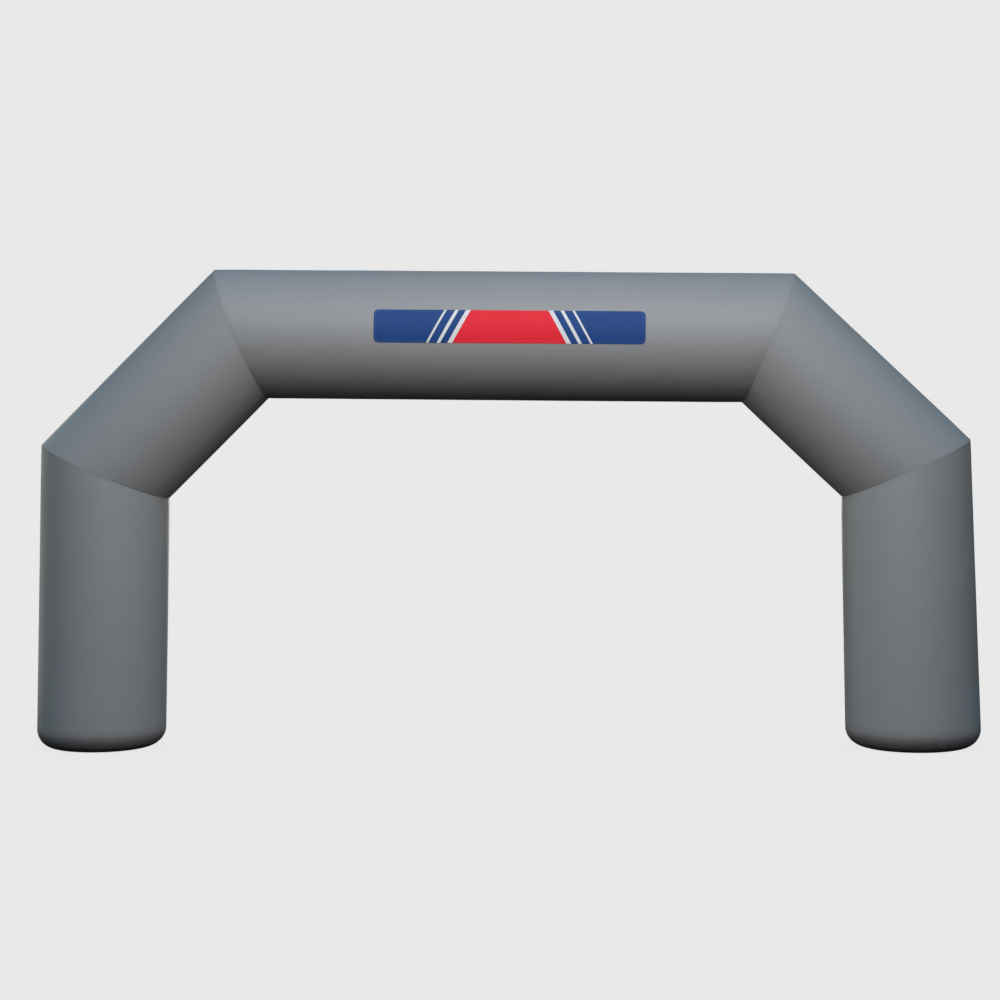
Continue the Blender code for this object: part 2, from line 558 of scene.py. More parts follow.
@dataclass(frozen=True)
class Print:
    """Banner cloth with a plain printed design: blue ends, a red middle and slanted white bars.

    Attributes:
        blue: The colour of the ends.
        red: The colour of the middle.
        white: The colour of the bars.
        half_red: Half the length of the red middle.
        bars: How many white bars stand at each end of the middle.
        bar: The width of the bar next to the middle.
        thinning: The share of that width by which each further bar is narrower.
        step: The distance from one white bar to the next.
        slant: How far a bar leans for each metre of height.
        roughness: How matt the print is, from 0 to 1.
        specular: How strongly it mirrors.
        thread: The pitch of the weave's threads.
        relief: The height of the weave's threads.
        bump: How strongly the relief shows.
        patches: How its tone varies.
        gloss: How unevenly matt it is.
    """

    blue: tuple[float, float, float] = (0.010, 0.066, 0.262)
    red: tuple[float, float, float] = (0.960, 0.018, 0.040)
    white: tuple[float, float, float] = (0.86, 0.86, 0.86)
    half_red: float = 0.30
    bars: int = 3
    bar: float = 0.030
    thinning: float = 0.25
    step: float = 0.075
    slant: float = 0.55
    roughness: float = 0.5
    specular: float = 0.2
    thread: float = math.tau / 5200.0
    relief: float = 0.0001
    bump: float = 0.3
    patches: Mottle = Mottle(20.0, 4.0, 0.03)
    gloss: Mottle = Mottle(14.0, 2.0, 0.05)

    def material(self, name: str) -> bpy.types.Material:
        """Makes the printed cloth's material.

        Args:
            name: The material's name.

        Returns:
            The material, for a piece whose cloth map starts at its middle.
        """
        made, net, shader = new_surface(name)
        cloth = net.add("ShaderNodeUVMap", {"uv_map": CLOTH_MAP})
        tone = 1.0 + self.patches.on(net, cloth)
        net.plug(shader.inputs["Base Color"], net.toned(self._design(net, cloth), tone))
        net.plug(shader.inputs["Roughness"], self.roughness + self.gloss.on(net, cloth))
        relief = net.weave(cloth, self.thread) * self.relief
        net.plug(shader.inputs["Normal"], net.bump(self.bump, relief))
        shader.inputs["Specular IOR Level"].default_value = self.specular
        return made

    def _design(self, net: Net, cloth: Field) -> Field:
        """Draws the printed design.

        Args:
            net: The net of the material's nodes.
            cloth: The place on the cloth, counted from its middle.

        Returns:
            The printed colour.
        """
        across = abs(cloth.part(0)) + cloth.part(1) * self.slant
        blue, red, white = ((*colour, 1.0) for colour in (self.blue, self.red, self.white))
        design = net.mix_colour(across.above(self.half_red), red, blue)
        for count in range(self.bars):
            near = self.half_red + count * self.step
            far = near + self.bar * (1.0 - self.thinning * count)
            stripe = across.above(near) * (1.0 - across.above(far))
            design = net.mix_colour(stripe, design, white)
        return design


def new_surface(name: str) -> tuple[bpy.types.Material, Net, bpy.types.Node]:
    """Makes a material.

    Args:
        name: The material's name.

    Returns:
        The material, the net for its nodes and its Principled shader.
    """
    made = bpy.data.materials.new(name)
    made.use_nodes = True
    return made, Net(made.node_tree), made.node_tree.nodes["Principled BSDF"]


@dataclass(frozen=True)
class Foot:
    """One foot of the arch.

    Attributes:
        centre: Where its middle lies along X.
        radius: The radius of its leg just above the rounding.
        lean: How far its knee stands along X from its middle.
    """

    centre: float
    radius: float
    lean: float


@dataclass(frozen=True)
class ArchPlan:
    """The sizes that all pieces share, and the line that the tubes follow.

    Attributes:
        left: The left foot.
        right: The right foot.
        height: The height of the arch at its left shoulder.
        radius: The radius of the tubes.
        knee_height: How high the legs' axes reach.
        shoulder_half_span: Half the length of the beam's axis.
        beam_fall: How much lower the beam's right end lies.
        rounding: The radius of the feet's rounding.
        floor_seam_angle: Where on the rounding the floor panel is sewn on.
        seam_draw: How far a mitre seam draws the wall in.
    """

    left: Foot = Foot(-2.636, 0.414, 0.050)
    right: Foot = Foot(2.621, 0.430, -0.053)
    height: float = 3.082
    radius: float = 0.413
    knee_height: float = 1.787
    shoulder_half_span: float = 1.691
    beam_fall: float = 0.047
    rounding: float = 0.121
    floor_seam_angle: float = math.radians(42)
    seam_draw: float = 0.002

    def points(self) -> list[Vector]:
        """Lays out the line that the tubes follow.

        Returns:
            The six points of the axis, from the left foot over the beam to the right foot.
        """
        beam = self.height - self.radius
        return [
            Vector((self.left.centre, 0.0, 0.0)),
            Vector((self.left.centre + self.left.lean, 0.0, self.knee_height)),
            Vector((-self.shoulder_half_span, 0.0, beam)),
            Vector((self.shoulder_half_span, 0.0, beam - self.beam_fall)),
            Vector((self.right.centre + self.right.lean, 0.0, self.knee_height)),
            Vector((self.right.centre, 0.0, 0.0)),
        ]

    def mitre(self, index: int) -> Vector:
        """The normal of the plane that halves the bend at a point of the axis."""
        before, corner, after = self.points()[index - 1 : index + 2]
        return ((corner - before).normalized() + (after - corner).normalized()).normalized()

    def floor_seam_height(self) -> float:
        """How high above the ground the floor panels are sewn on."""
        return self.rounding * (1 - math.cos(self.floor_seam_angle))


@dataclass(frozen=True)
class TubeCut:
    """How one tube is cut: its axis, and the plane, radius and seam at each end.

    Attributes:
        start: The axis point in the first end plane.
        end: The axis point in the last end plane.
        start_normal: The first plane's normal, pointing along the arch.
        end_normal: The last plane's normal, pointing along the arch.
        start_radius: The full radius towards the start.
        end_radius: The full radius towards the end.
        rounded: Whether the tube starts in a rounded foot.
        seams: Numbers of the seams at both ends, which place the gathers alike on both sides.
    """

    start: Vector
    end: Vector
    start_normal: Vector
    end_normal: Vector
    start_radius: float
    end_radius: float
    rounded: bool
    seams: tuple[int, int]


class WallRule:
    """The rule that places a point of an inflated wall, written as nodes for the cloth and its stitches.

    Attributes:
        INPUTS: The inputs that a pattern with this rule has.
        BAND_SLOPE: Where the edge of the double cloth falls off, counted from its width.
        FLOOR_EASE: How far above the floor seam the double cloth has its full thickness.
        HELD: How far from a seam the wall is held true.
        SWELL_PLACE: How far the swell moves on for each metre along the tube, and for each tube.
        SWELL_SCALE: How fine the swell is.
        GATHER_PLACE: How far the gathers change for each metre from a seam, and for each seam.
        GATHER_FADE: How soon the gathers fade out.
        GATHER_LEAST: How deep the gathers are on the outside of a bend, as a share.
        GATHER_TURN: Where round the tube they grow to their full depth.
        GATHER_ROUGH: How uneven the gathers are, from 0 to 1.
        GATHER_RADIUS: The radius of tube that the pitch of the gathers is measured on.
    """

    BAND_SLOPE = (-0.002, 0.004)
    FLOOR_EASE = 0.004
    HELD = 0.25
    SWELL_PLACE = (1.4, 3.7)
    SWELL_SCALE = 1.5
    GATHER_PLACE = (5.0, 11.3)
    GATHER_FADE = 0.55
    GATHER_LEAST = 0.30
    GATHER_TURN = (-0.2, 0.9)
    GATHER_ROUGH = 0.45
    GATHER_RADIUS = 0.4
    INPUTS: dict[str, object] = {
        "Start": Vector((0.0, 0.0, 0.0)),
        "End": Vector((1.0, 0.0, 0.0)),
        "Start Normal": Vector((1.0, 0.0, 0.0)),
        "End Normal": Vector((1.0, 0.0, 0.0)),
        "Start Radius": 0.4,
        "End Radius": 0.4,
        "Start Draw": ArchPlan.seam_draw,
        "End Draw": ArchPlan.seam_draw,
        "Draw Reach": 0.040,
        "Rounding": 0.0,
        "Seam Height": 0.0,
        "Seam Band": 0.014,
        "Seam Thickness": 0.0005,
        "Pucker Depth": 0.0016,
        "Pucker Pitch": 0.055,
        "Pucker Reach": 0.022,
        "Swell": 0.0010,
        "Start Seam": 0.0,
        "End Seam": 1.0,
    }

    def __init__(self, net: Pattern) -> None:
        """Writes the parts of the rule that don't depend on the point.

        Args:
            net: The pattern that the rule is written into.
        """
        self.net = net
        self.start = net.given("Start")
        axis = net.given("End") - self.start
        self.length = axis.length()
        self.along = axis.unit()
        self.inward = self.along.cross(FRONT)
        round_draw = self._rounding_draw(0.0)
        self.start_seam_radius = net.given("Start Radius") - round_draw - net.given("Start Draw")
        self.end_seam_radius = net.given("End Radius") - net.given("End Draw")

    def spoke(self, forward: Field, inward: Field) -> Field:
        """The direction from the axis to a point of the wall."""
        return self.net.combine(*FRONT) * forward + self.inward * inward

    def reaches(self, spoke: Field) -> tuple[Field, Field]:
        """Finds where a straight line of the wall, along the tube, meets the two end planes.

        Args:
            spoke: The direction from the axis to the line.

        Returns:
            The two places along the axis.
        """
        net = self.net
        first_normal, last_normal = net.given("Start Normal"), net.given("End Normal")
        first = -(spoke.dot(first_normal) * self.start_seam_radius / self.along.dot(first_normal))
        last = self.length - spoke.dot(last_normal) * self.end_seam_radius / self.along.dot(last_normal)
        return first, last

    def point(self, forward: Field, inward: Field, place: Field, first: Field, last: Field) -> Field:
        """The point of the wall.

        Args:
            forward: How far the spoke points to the front, from -1 to 1.
            inward: How far the spoke points to the inside of the arch, from -1 to 1.
            place: Where along the axis the point lies.
            first: Where the wall's line meets the start plane.
            last: Where it meets the end plane.

        Returns:
            The position.
        """
        net = self.net
        from_start = place - first
        from_end = last - place
        share = from_start / (last - first)
        full = net.given("Start Radius") * (1.0 - share) + net.given("End Radius") * share
        radius = full - self._rounding_draw(from_start)
        radius = radius - net.given("Start Draw") * self._fade(from_start)
        radius = radius - net.given("End Draw") * self._fade(from_end)
        radius = radius + self._puckers(forward, inward, from_start, net.given("Start Seam"))
        radius = radius + self._puckers(forward, inward, from_end, net.given("End Seam"))
        nearest = self._from_closing_seam(forward, inward).at_most(from_start).at_most(from_end)
        off_floor = net.ease(from_start, 0.0, self.FLOOR_EASE)
        radius = radius + self.band(nearest) * net.given("Seam Thickness") * off_floor
        per_metre, per_tube = self.SWELL_PLACE
        around = net.combine(forward, inward, place * per_metre + net.given("Start Seam") * per_tube)
        free = net.ease(from_start, 0.0, self.HELD) * net.ease(from_end, 0.0, self.HELD)
        radius = radius + net.noise(around, self.SWELL_SCALE, 1.0) * net.given("Swell") * free
        return self.start + self.along * place + self.spoke(forward, inward) * radius

    def band(self, distance: Field) -> Field:
        """1 on the double cloth beside a seam, and 0 past it."""
        return 1.0 - self.net.ease(distance - self.net.given("Seam Band"), *self.BAND_SLOPE)

    def nearness(self, forward: Field, inward: Field, place: Field, first: Field, last: Field) -> Field:
        """How near a point is to any of the tube's seams, from 0 to 1."""
        nearest = self._from_closing_seam(forward, inward).at_most(place - first).at_most(last - place)
        return self.band(nearest)

    def _from_closing_seam(self, forward: Field, inward: Field) -> Field:
        """The distance round the wall from the seam that closes the tube along its back."""
        behind = self.net.math("ARCTAN2", inward, -forward)
        return abs(behind) * self.net.given("End Radius")

    def _fade(self, distance: Field) -> Field:
        """How much of a seam's draw is left at a distance from it."""
        return (-(distance / self.net.given("Draw Reach"))).exponential()

    def _rounding_draw(self, from_seam: object) -> Field:
        """Works out how far a foot's rounding draws the wall in.

        Args:
            from_seam: The height above the floor seam.

        Returns:
            How much less the radius is there.
        """
        net = self.net
        rounding = net.given("Rounding")
        below = (rounding - net.given("Seam Height") - from_seam).at_least(0.0)
        return rounding - (rounding * rounding - below * below).at_least(0.0).root()

    def _puckers(self, forward: Field, inward: Field, distance: Field, seam: Field) -> Field:
        """Works out the small gathers beside a seam.

        Args:
            forward: How far the spoke points to the front, from -1 to 1.
            inward: How far the spoke points to the inside of the arch, from -1 to 1.
            distance: How far from the seam the point lies.
            seam: The number of the seam.

        Returns:
            How far the wall stands out, most a little way from the seam and on the inside of the bend.
        """
        net = self.net
        reach = net.given("Pucker Reach")
        near = distance / reach
        rise = near * (1.0 - near * self.GATHER_FADE).exponential()
        around = net.combine(forward, inward, 0.0) * (self.GATHER_RADIUS / net.given("Pucker Pitch"))
        per_metre, per_seam = self.GATHER_PLACE
        place = around + net.combine(0.0, 0.0, distance * per_metre + seam * per_seam)
        gathers = net.noise(place, 1.0, 2.0, self.GATHER_ROUGH)
        inside = self.GATHER_LEAST + (1.0 - self.GATHER_LEAST) * net.ease(inward, *self.GATHER_TURN)
        return gathers * rise * inside * net.given("Pucker Depth")


@dataclass
class Tube:
    """One straight tube of the arch, as its cloth and the two rows of stitches beside each seam.

    Attributes:
        name: The name of the solid that the tube replaces.
        cut: How the tube is cut.
        plan: The sizes of the arch.
        rings: How many rings of faces the cloth has along the tube.
        sides: How many faces it has around.
    """

    name: str
    cut: TubeCut
    plan: ArchPlan
    rings: int = 110
    sides: int = 300

    def values(self) -> dict[str, object]:
        """Fills in the wall rule for this tube.

        Returns:
            The inputs of its patterns.
        """
        cut, plan = self.cut, self.plan
        return {
            "Start": cut.start,
            "End": cut.end,
            "Start Normal": cut.start_normal,
            "End Normal": cut.end_normal,
            "Start Radius": cut.start_radius,
            "End Radius": cut.end_radius,
            "Start Draw": 0.0 if cut.rounded else plan.seam_draw,
            "End Draw": plan.seam_draw,
            "Rounding": plan.rounding if cut.rounded else 0.0,
            "Seam Height": plan.floor_seam_height() if cut.rounded else 0.0,
            "Start Seam": float(cut.seams[0]),
            "End Seam": float(cut.seams[1]),
        }

    def cloth(self, pattern: Pattern, material: bpy.types.Material) -> bpy.types.Object:
        """Makes the tube's cloth."""
        values = {**self.values(), "Sides": self.sides, "Rings": self.rings}
        return pattern.make(f"{self.name}_cloth", values, material)

    def stitches(self, pattern: Pattern, material: bpy.types.Material) -> bpy.types.Object:
        """Makes the rows of stitches beside the tube's seams."""
        return pattern.make(f"{self.name}_stitches", self.values(), material)


RING_CROWDING = 0.88


def wall_pattern() -> Pattern:
    """Builds the tree that makes a tube's cloth.

    Returns:
        A pattern that bends a cylinder along the wall rule, with its rings close together at the seams.
    """
    counts = {"Sides": Tube.sides, "Rings": Tube.rings, "Crowding": RING_CROWDING}
    net = Pattern("inflated_tube", {**WallRule.INPUTS, **counts})
    rule = WallRule(net)
    sockets = {"Vertices": net.given("Sides"), "Side Segments": net.given("Rings")}
    sockets.update({"Radius": 1.0, "Depth": 1.0})
    cylinder = net.add("GeometryNodeMeshCylinder", {"fill_type": "NGON"}, sockets)
    turn = cylinder.sibling("UV Map")
    place = net.place()
    forward, inward = -place.part(0), -place.part(1)
    even = place.part(2) + 0.5
    share = even - (even * math.tau).sine() * net.given("Crowding") / math.tau
    first, last = rule.reaches(rule.spoke(forward, inward))
    along = first * (1.0 - share) + last * share
    around = turn.part(0) * net.given("End Radius") * math.tau
    flat = net.mapped(cylinder, net.combine(around, along, 0.0))
    marked = net.marked(flat, rule.nearness(forward, inward, along, first, last))
    net.give(net.moved(marked, rule.point(forward, inward, along, first, last)))
    return net


STITCH_SWING = 0.09
STITCH_FACETS = {"Segments": 6, "Rings": 4, "Radius": 1.0}
RING_SEAM_POINTS = 720
BACK_SEAM_POINTS = 240
BACK_SEAM_SEED = 7
PANEL_SEAM_POINTS = 900
PANEL_SEAM_SEED = 5
PANEL_CORNER_POINTS = 6
STITCH_INPUTS: dict[str, object] = {
    "Stitch Pitch": 0.0065,
    "Stitch Length": 0.0052,
    "Thread Radius": 0.0006,
    "Row Distance": 0.011,
    "Row Start": 0.020,
}


def stitch(net: Pattern, curve: Field, seed: int) -> Field:
    """Adds a row of stitches along a curve.

    Args:
        net: The pattern, with inputs Stitch Pitch, Stitch Length and Thread Radius.
        curve: The curve that the row follows.
        seed: The seed of the small unevenness.

    Returns:
        The stitches as instances.
    """
    spacing = {"Curve": curve, "Length": net.given("Stitch Pitch")}
    row = net.add("GeometryNodeCurveToPoints", {"mode": "LENGTH"}, spacing)
    tangent = row.sibling("Tangent")
    swing = {0: (-STITCH_SWING,) * 3, 1: (STITCH_SWING,) * 3, "Seed": seed}
    uneven = net.add("FunctionNodeRandomValue", {"data_type": "FLOAT_VECTOR"}, swing)
    turn = net.add("FunctionNodeAlignRotationToVector", {"axis": "Z"}, {"Vector": tangent + uneven})
    bead = net.add("GeometryNodeMeshUVSphere", None, STITCH_FACETS)
    thick, half = net.given("Thread Radius"), net.given("Stitch Length") * 0.5
    sockets = {"Points": row, "Instance": bead, "Rotation": turn}
    sockets["Scale"] = net.combine(thick, thick, half)
    return net.add("GeometryNodeInstanceOnPoints", None, sockets)


def seam_stitch_pattern() -> Pattern:
    """Builds the tree that makes the rows of stitches beside a tube's seams.

    Returns:
        A pattern with one row round the wall near each end, and two rows along the seam at the back.
    """
    net = Pattern("seam_stitches", {**WallRule.INPUTS, **STITCH_INPUTS})
    rule = WallRule(net)
    join = net.tree.nodes.new("GeometryNodeJoinGeometry")
    for end in End:
        sockets = {"Resolution": RING_SEAM_POINTS, "Radius": 1.0}
        circle = net.add("GeometryNodeCurvePrimitiveCircle", {"mode": "RADIUS"}, sockets)
        place = net.place()
        forward, inward = place.part(0), place.part(1)
        first, last = rule.reaches(rule.spoke(forward, inward))
        distance = net.given("Row Distance")
        along = first + distance if end is End.START else last - distance
        curve = net.moved(circle, rule.point(forward, inward, along, first, last))
        row = stitch(net, curve, int(end.value) + 1)
        net.tree.links.new(row.socket, join.inputs[0])
    offset = net.given("Row Distance") / net.given("End Radius")
    for side in (-1.0, 1.0):
        line = net.add("GeometryNodeCurvePrimitiveLine", None, {"End": (1.0, 0.0, 0.0)})
        sockets = {"Curve": line, "Count": BACK_SEAM_POINTS}
        fine = net.add("GeometryNodeResampleCurve", {"mode": "COUNT"}, sockets)
        forward, inward = -offset.cosine(), offset.sine() * side
        first, last = rule.reaches(rule.spoke(forward, inward))
        margin = net.given("Row Start")
        along = first + margin + (last - first - margin * 2.0) * net.place().part(0)
        curve = net.moved(fine, rule.point(forward, inward, along, first, last))
        row = stitch(net, curve, BACK_SEAM_SEED + int(side))
        net.tree.links.new(row.socket, join.inputs[0])
    net.give(Field(net, join.outputs[0]))
    return net


@dataclass
class FloorPanel:
    """The round floor panel of a foot, flat on the ground and rounded up to the leg's seam.

    Attributes:
        name: The name of the solid that the panel replaces.
        foot: The foot that the panel closes.
        plan: The sizes of the arch.
    """

    name: str
    foot: Foot
    plan: ArchPlan

    def cloth(self, pattern: Pattern, material: bpy.types.Material) -> bpy.types.Object:
        """Makes the panel's cloth.

        Args:
            pattern: The pattern of a floor panel.
            material: The cloth's material.

        Returns:
            The piece.
        """
        values = {
            "Centre": Vector((self.foot.centre, 0.0, 0.0)),
            "Lean": self.foot.lean / self.plan.knee_height,
            "Foot Radius": self.foot.radius,
            "Rounding": self.plan.rounding,
            "Seam Angle": self.plan.floor_seam_angle,
        }
        return pattern.make(f"{self.name}_cloth", values, material)


FLOOR_FACETS = {"Vertices": 240, "Side Segments": 14, "Fill Segments": 1, "Radius": 1.0, "Depth": 1.0}


def floor_pattern() -> Pattern:
    """Builds the tree that makes a foot's floor panel.

    Returns:
        A pattern that turns a low cylinder into a dish with a flat underside.
    """
    inputs = {
        "Centre": Vector((0.0, 0.0, 0.0)),
        "Lean": 0.0,
        "Foot Radius": 0.4,
        "Rounding": 0.1,
        "Seam Angle": 0.7,
        "Gap": 0.0003,
    }
    net = Pattern("floor_panel", inputs)
    cylinder = net.add("GeometryNodeMeshCylinder", {"fill_type": "NGON"}, FLOOR_FACETS)
    place = net.place()
    rise = (place.part(2) + 0.5) * net.given("Seam Angle")
    rounding = net.given("Rounding")
    radius = net.given("Foot Radius") - rounding * (1.0 - rise.sine())
    top = rounding * (1.0 - net.given("Seam Angle").cosine()) - net.given("Gap")
    height = (rounding * (1.0 - rise.cosine())).at_most(top)
    across, back = place.part(0) * radius, place.part(1) * radius
    offset = net.combine(across + height * net.given("Lean"), back, height)
    flat = net.mapped(cylinder, net.combine(across, back, 0.0))
    net.give(net.moved(flat, net.given("Centre") + offset))
    return net


@dataclass
class FrontPanel:
    """The printed panel that is sewn to the front of the beam.

    Attributes:
        plan: The sizes of the arch.
        length: Its length along the beam.
        first_angle: The angle of its lower edge above the beam's frontmost line.
        last_angle: The angle of its upper edge.
        centre_x: How far its middle lies from the beam's middle.
        corner: The radius of its corners.
        name: The name of the solid that the panel replaces.
    """

    plan: ArchPlan
    length: float = 1.700
    first_angle: float = math.radians(-8)
    last_angle: float = math.radians(21)
    centre_x: float = 0.047
    corner: float = 0.030
    name: str = "front_panel"

    def height(self) -> float:
        """The panel's height, measured round the tube."""
        return self.plan.radius * (self.last_angle - self.first_angle)

    def values(self) -> dict[str, object]:
        """Fills in the rule of the panel.

        Returns:
            The inputs of its patterns.
        """
        left, right = self.plan.points()[2:4]
        along = (right - left).normalized()
        return {
            "Middle": (left + right) / 2 + along * self.centre_x,
            "Along": along,
            "Radius": self.plan.radius,
            "First Angle": self.first_angle,
            "Length": self.length,
            "Height": self.height(),
            "Corner": self.corner,
        }


class PanelRule:
    """The rule that wraps a flat point of the printed panel round the beam, written as nodes.

    Attributes:
        INPUTS: The inputs that a pattern with this rule has.
        HEM_SLOPE: Where the inner edge of the hem falls off, counted from its width.
        RIPPLE_SCALE: How fine the ripples are, in waves for each metre.
    """

    HEM_SLOPE = (-0.002, 0.001)
    RIPPLE_SCALE = 9.0
    INPUTS: dict[str, object] = {
        "Middle": Vector((0.0, 0.0, 0.0)),
        "Along": Vector((1.0, 0.0, 0.0)),
        "Radius": 0.4,
        "First Angle": 0.0,
        "Length": 1.7,
        "Height": 0.2,
        "Corner": 0.03,
        "Lift": 0.0006,
        "Thickness": 0.0008,
        "Hem Width": 0.018,
        "Hem": 0.0008,
        "Ripple": 0.0004,
    }

    def __init__(self, net: Pattern) -> None:
        """Takes the pattern that the rule is written into."""
        self.net = net

    def height_at(self, across: Field, up: Field) -> Field:
        """Works out how far the printed face stands off the beam.

        Args:
            across: How far along the panel a flat point lies from its middle.
            up: How far above the middle it lies.

        Returns:
            The distance from the beam's wall.
        """
        net = self.net
        side = net.given("Length") * 0.5 - abs(across)
        edge = net.given("Height") * 0.5 - abs(up)
        inset = side.at_most(edge)
        hem = 1.0 - net.ease(inset - net.given("Hem Width"), *self.HEM_SLOPE)
        lift = net.given("Lift") + net.given("Thickness") + hem * net.given("Hem")
        ripple = net.noise(net.combine(across, up, 0.4), self.RIPPLE_SCALE, 1.0) * 0.5 + 0.5
        return lift + ripple * net.given("Ripple")

    def point(self, across: Field, up: Field, off: Field) -> Field:
        """Wraps a flat point round the beam.

        Args:
            across: How far along the panel it lies from its middle.
            up: How far above the middle it lies.
            off: How far it stands off the beam's wall.

        Returns:
            The position.
        """
        net = self.net
        along = net.given("Along")
        angle = net.given("First Angle") + (up + net.given("Height") * 0.5) / net.given("Radius")
        front = net.combine(*FRONT)
        upward = front.cross(along)
        spoke = front * angle.cosine() + upward * angle.sine()
        return net.given("Middle") + along * across + spoke * (net.given("Radius") + off)


PANEL_FACETS = {"Size": (1.0, 1.0, 1.0), "Vertices X": 380, "Vertices Y": 60, "Vertices Z": 2}


def panel_pattern() -> Pattern:
    """Builds the tree that makes the printed panel.

    Returns:
        A pattern that rounds the corners of a thin block and wraps it round the beam.
    """
    net = Pattern("printed_panel", PanelRule.INPUTS)
    rule = PanelRule(net)
    block = net.add("GeometryNodeMeshCube", None, PANEL_FACETS)
    place = net.place()
    up = place.part(1) * net.given("Height")
    corner = net.given("Corner")
    past = (abs(up) - (net.given("Height") * 0.5 - corner)).at_least(0.0)
    trimmed = corner - (corner * corner - past * past).at_least(0.0).root()
    across = place.part(0) * (net.given("Length") - trimmed * 2.0)
    face = place.part(2).above(0.0)
    lift = net.given("Lift")
    off = lift + (rule.height_at(across, up) - lift) * face
    flat = net.mapped(block, net.combine(across, up, 0.0))
    net.give(net.moved(flat, rule.point(across, up, off)))
    return net


def panel_stitch_pattern() -> Pattern:
    """Builds the tree that makes the row of stitches round the printed panel.

    Returns:
        A pattern with one row inside the panel's hem.
    """
    net = Pattern("panel_stitches", {**PanelRule.INPUTS, **STITCH_INPUTS})
    rule = PanelRule(net)
    inset = net.given("Row Distance") * 2.0
    frame = net.add(
        "GeometryNodeCurvePrimitiveQuadrilateral",
        {"mode": "RECTANGLE"},
        {"Width": net.given("Length") - inset, "Height": net.given("Height") - inset},
    )
    bend = net.given("Corner") - net.given("Row Distance")
    sockets = {"Curve": frame, "Radius": bend, "Count": PANEL_CORNER_POINTS}
    rounded = net.add("GeometryNodeFilletCurve", {"mode": "POLY"}, sockets)
    sockets = {"Curve": rounded, "Count": PANEL_SEAM_POINTS}
    fine = net.add("GeometryNodeResampleCurve", {"mode": "COUNT"}, sockets)
    place = net.place()
    across, up = place.part(0), place.part(1)
    curve = net.moved(fine, rule.point(across, up, rule.height_at(across, up)))
    net.give(stitch(net, curve, PANEL_SEAM_SEED))
    return net


@dataclass(frozen=True)
class Viewpoint:
    """A camera, placed by its position and by where it looks.

    Attributes:
        position: Where it stands.
        yaw: How far it turns to its left.
        pitch: How far it looks up.
        roll: How far it tips.
        focal_pixels: Its focal length, in pixels of the frame.
        sensor: The width of its sensor in millimetres.
        reach: How far it sees.
    """

    position: Vector = Vector((0.4754, -14.506, 2.1969))
    yaw: float = math.radians(1.999)
    pitch: float = math.radians(-2.391)
    roll: float = math.radians(-0.301)
    focal_pixels: float = 2253.3
    sensor: float = 36.0
    reach: float = 200.0

    def make(self) -> bpy.types.Object:
        """Makes the camera and makes it the scene's own.

        Returns:
            The camera.
        """
        level = Vector((math.cos(self.yaw), math.sin(self.yaw), 0.0))
        ahead = UP.cross(level) * math.cos(self.pitch) + UP * math.sin(self.pitch)
        raised = level.cross(ahead)
        right = level * math.cos(self.roll) + raised * math.sin(self.roll)
        top = raised * math.cos(self.roll) - level * math.sin(self.roll)
        data = bpy.data.cameras.new("camera")
        data.sensor_width = self.sensor
        data.lens = self.focal_pixels * self.sensor / FRAME_PIXELS
        data.clip_end = self.reach
        camera = bpy.data.objects.new("camera", data)
        turn = Matrix((right, top, -ahead)).transposed().to_4x4()
        camera.matrix_world = Matrix.Translation(self.position) @ turn
        bpy.context.scene.collection.objects.link(camera)
        bpy.context.scene.camera = camera
        return camera


@dataclass(frozen=True)
class SoftLight:
    """A square soft light that points at a place.

    Attributes:
        name: The light's name.
        position: Where it stands.
        target: Where it points.
        side: The length of its sides.
        power: Its power in watts.
        colour: Its colour.
    """

    name: str
    position: Vector
    target: Vector
    side: float
    power: float
    colour: tuple[float, float, float]

    def make(self) -> bpy.types.Object:
        """Makes the light, which the camera doesn't see.

        Returns:
            The light.
        """
        data = bpy.data.lights.new(self.name, "AREA")
        data.shape = "SQUARE"
        data.size = self.side
        data.energy = self.power
        data.color = self.colour
        light = bpy.data.objects.new(self.name, data)
        light.location = self.position
        light.rotation_euler = (self.target - self.position).to_track_quat("-Z", "Y").to_euler()
        light.visible_camera = False
        bpy.context.scene.collection.objects.link(light)
        return light


Stops = list[tuple[float, tuple[float, float, float, float]]]


